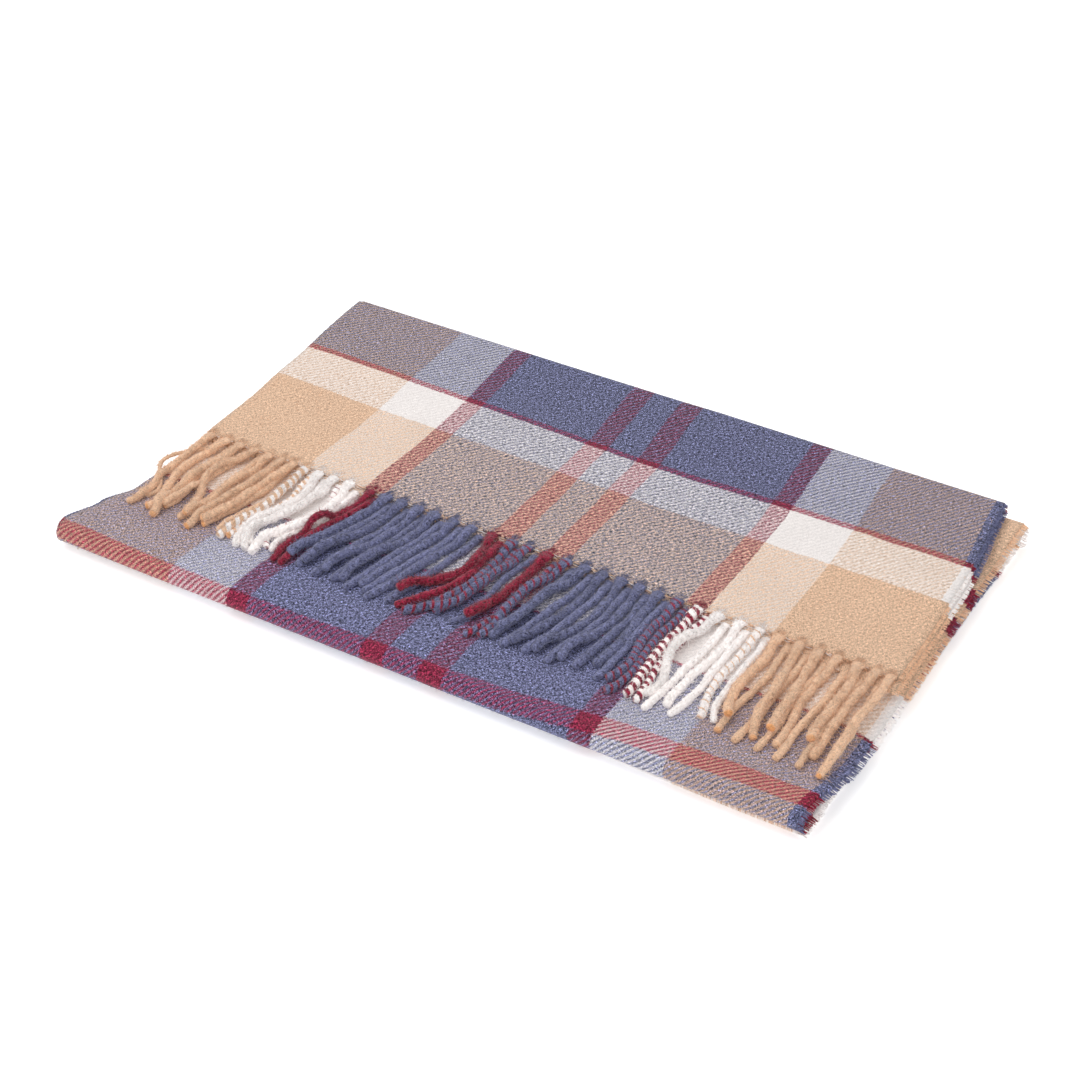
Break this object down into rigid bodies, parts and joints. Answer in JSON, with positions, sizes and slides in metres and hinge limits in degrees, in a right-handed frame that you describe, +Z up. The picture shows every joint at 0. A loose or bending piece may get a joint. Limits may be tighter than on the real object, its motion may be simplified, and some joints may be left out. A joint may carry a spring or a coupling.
{
  "type": "folded tartan blanket scarf",
  "caption": "Soft brushed wool twill scarf in a camel, white, blue and burgundy check, folded flat in a stack with its twisted fringe laid forward on top.",
  "frame": {"origin": "middle of the bounding box, on the surface that the folded scarf rests on", "axes": "+Z up, +X across the cloth from the left selvedge to the right one, +Y from the front fold to the back fold, so the fringe points to -Y"},
  "size_m": [0.3516, 0.2076, 0.0168],
  "materials": {
    "upper_end_cloth": "brushed wool twill, camel, white, blue and burgundy check",
    "lower_end_cloth": "brushed wool twill, camel, white, blue and burgundy check",
    "middle_cloth": "brushed wool twill, blue and burgundy part of the check in front",
    "base_cloth": "brushed wool twill, camel, white, blue and burgundy check",
    "hidden_cloth": "brushed wool twill, seen only at its layered edges",
    "upper_fringe_yarn": "fuzzy twisted wool strands in the colours of the warp",
    "lower_fringe_yarn": "fuzzy twisted wool strands in the colours of the warp"
  },
  "bodies": {
    "root": {"upper_end_panel": "upper_end_cloth", "lower_end_panel": "lower_end_cloth", "middle_panel": "middle_cloth", "base_panel": "base_cloth", "hidden_layers": "hidden_cloth", "upper_fringe": "upper_fringe_yarn", "lower_fringe": "lower_fringe_yarn"}
  },
  "joints": []
}
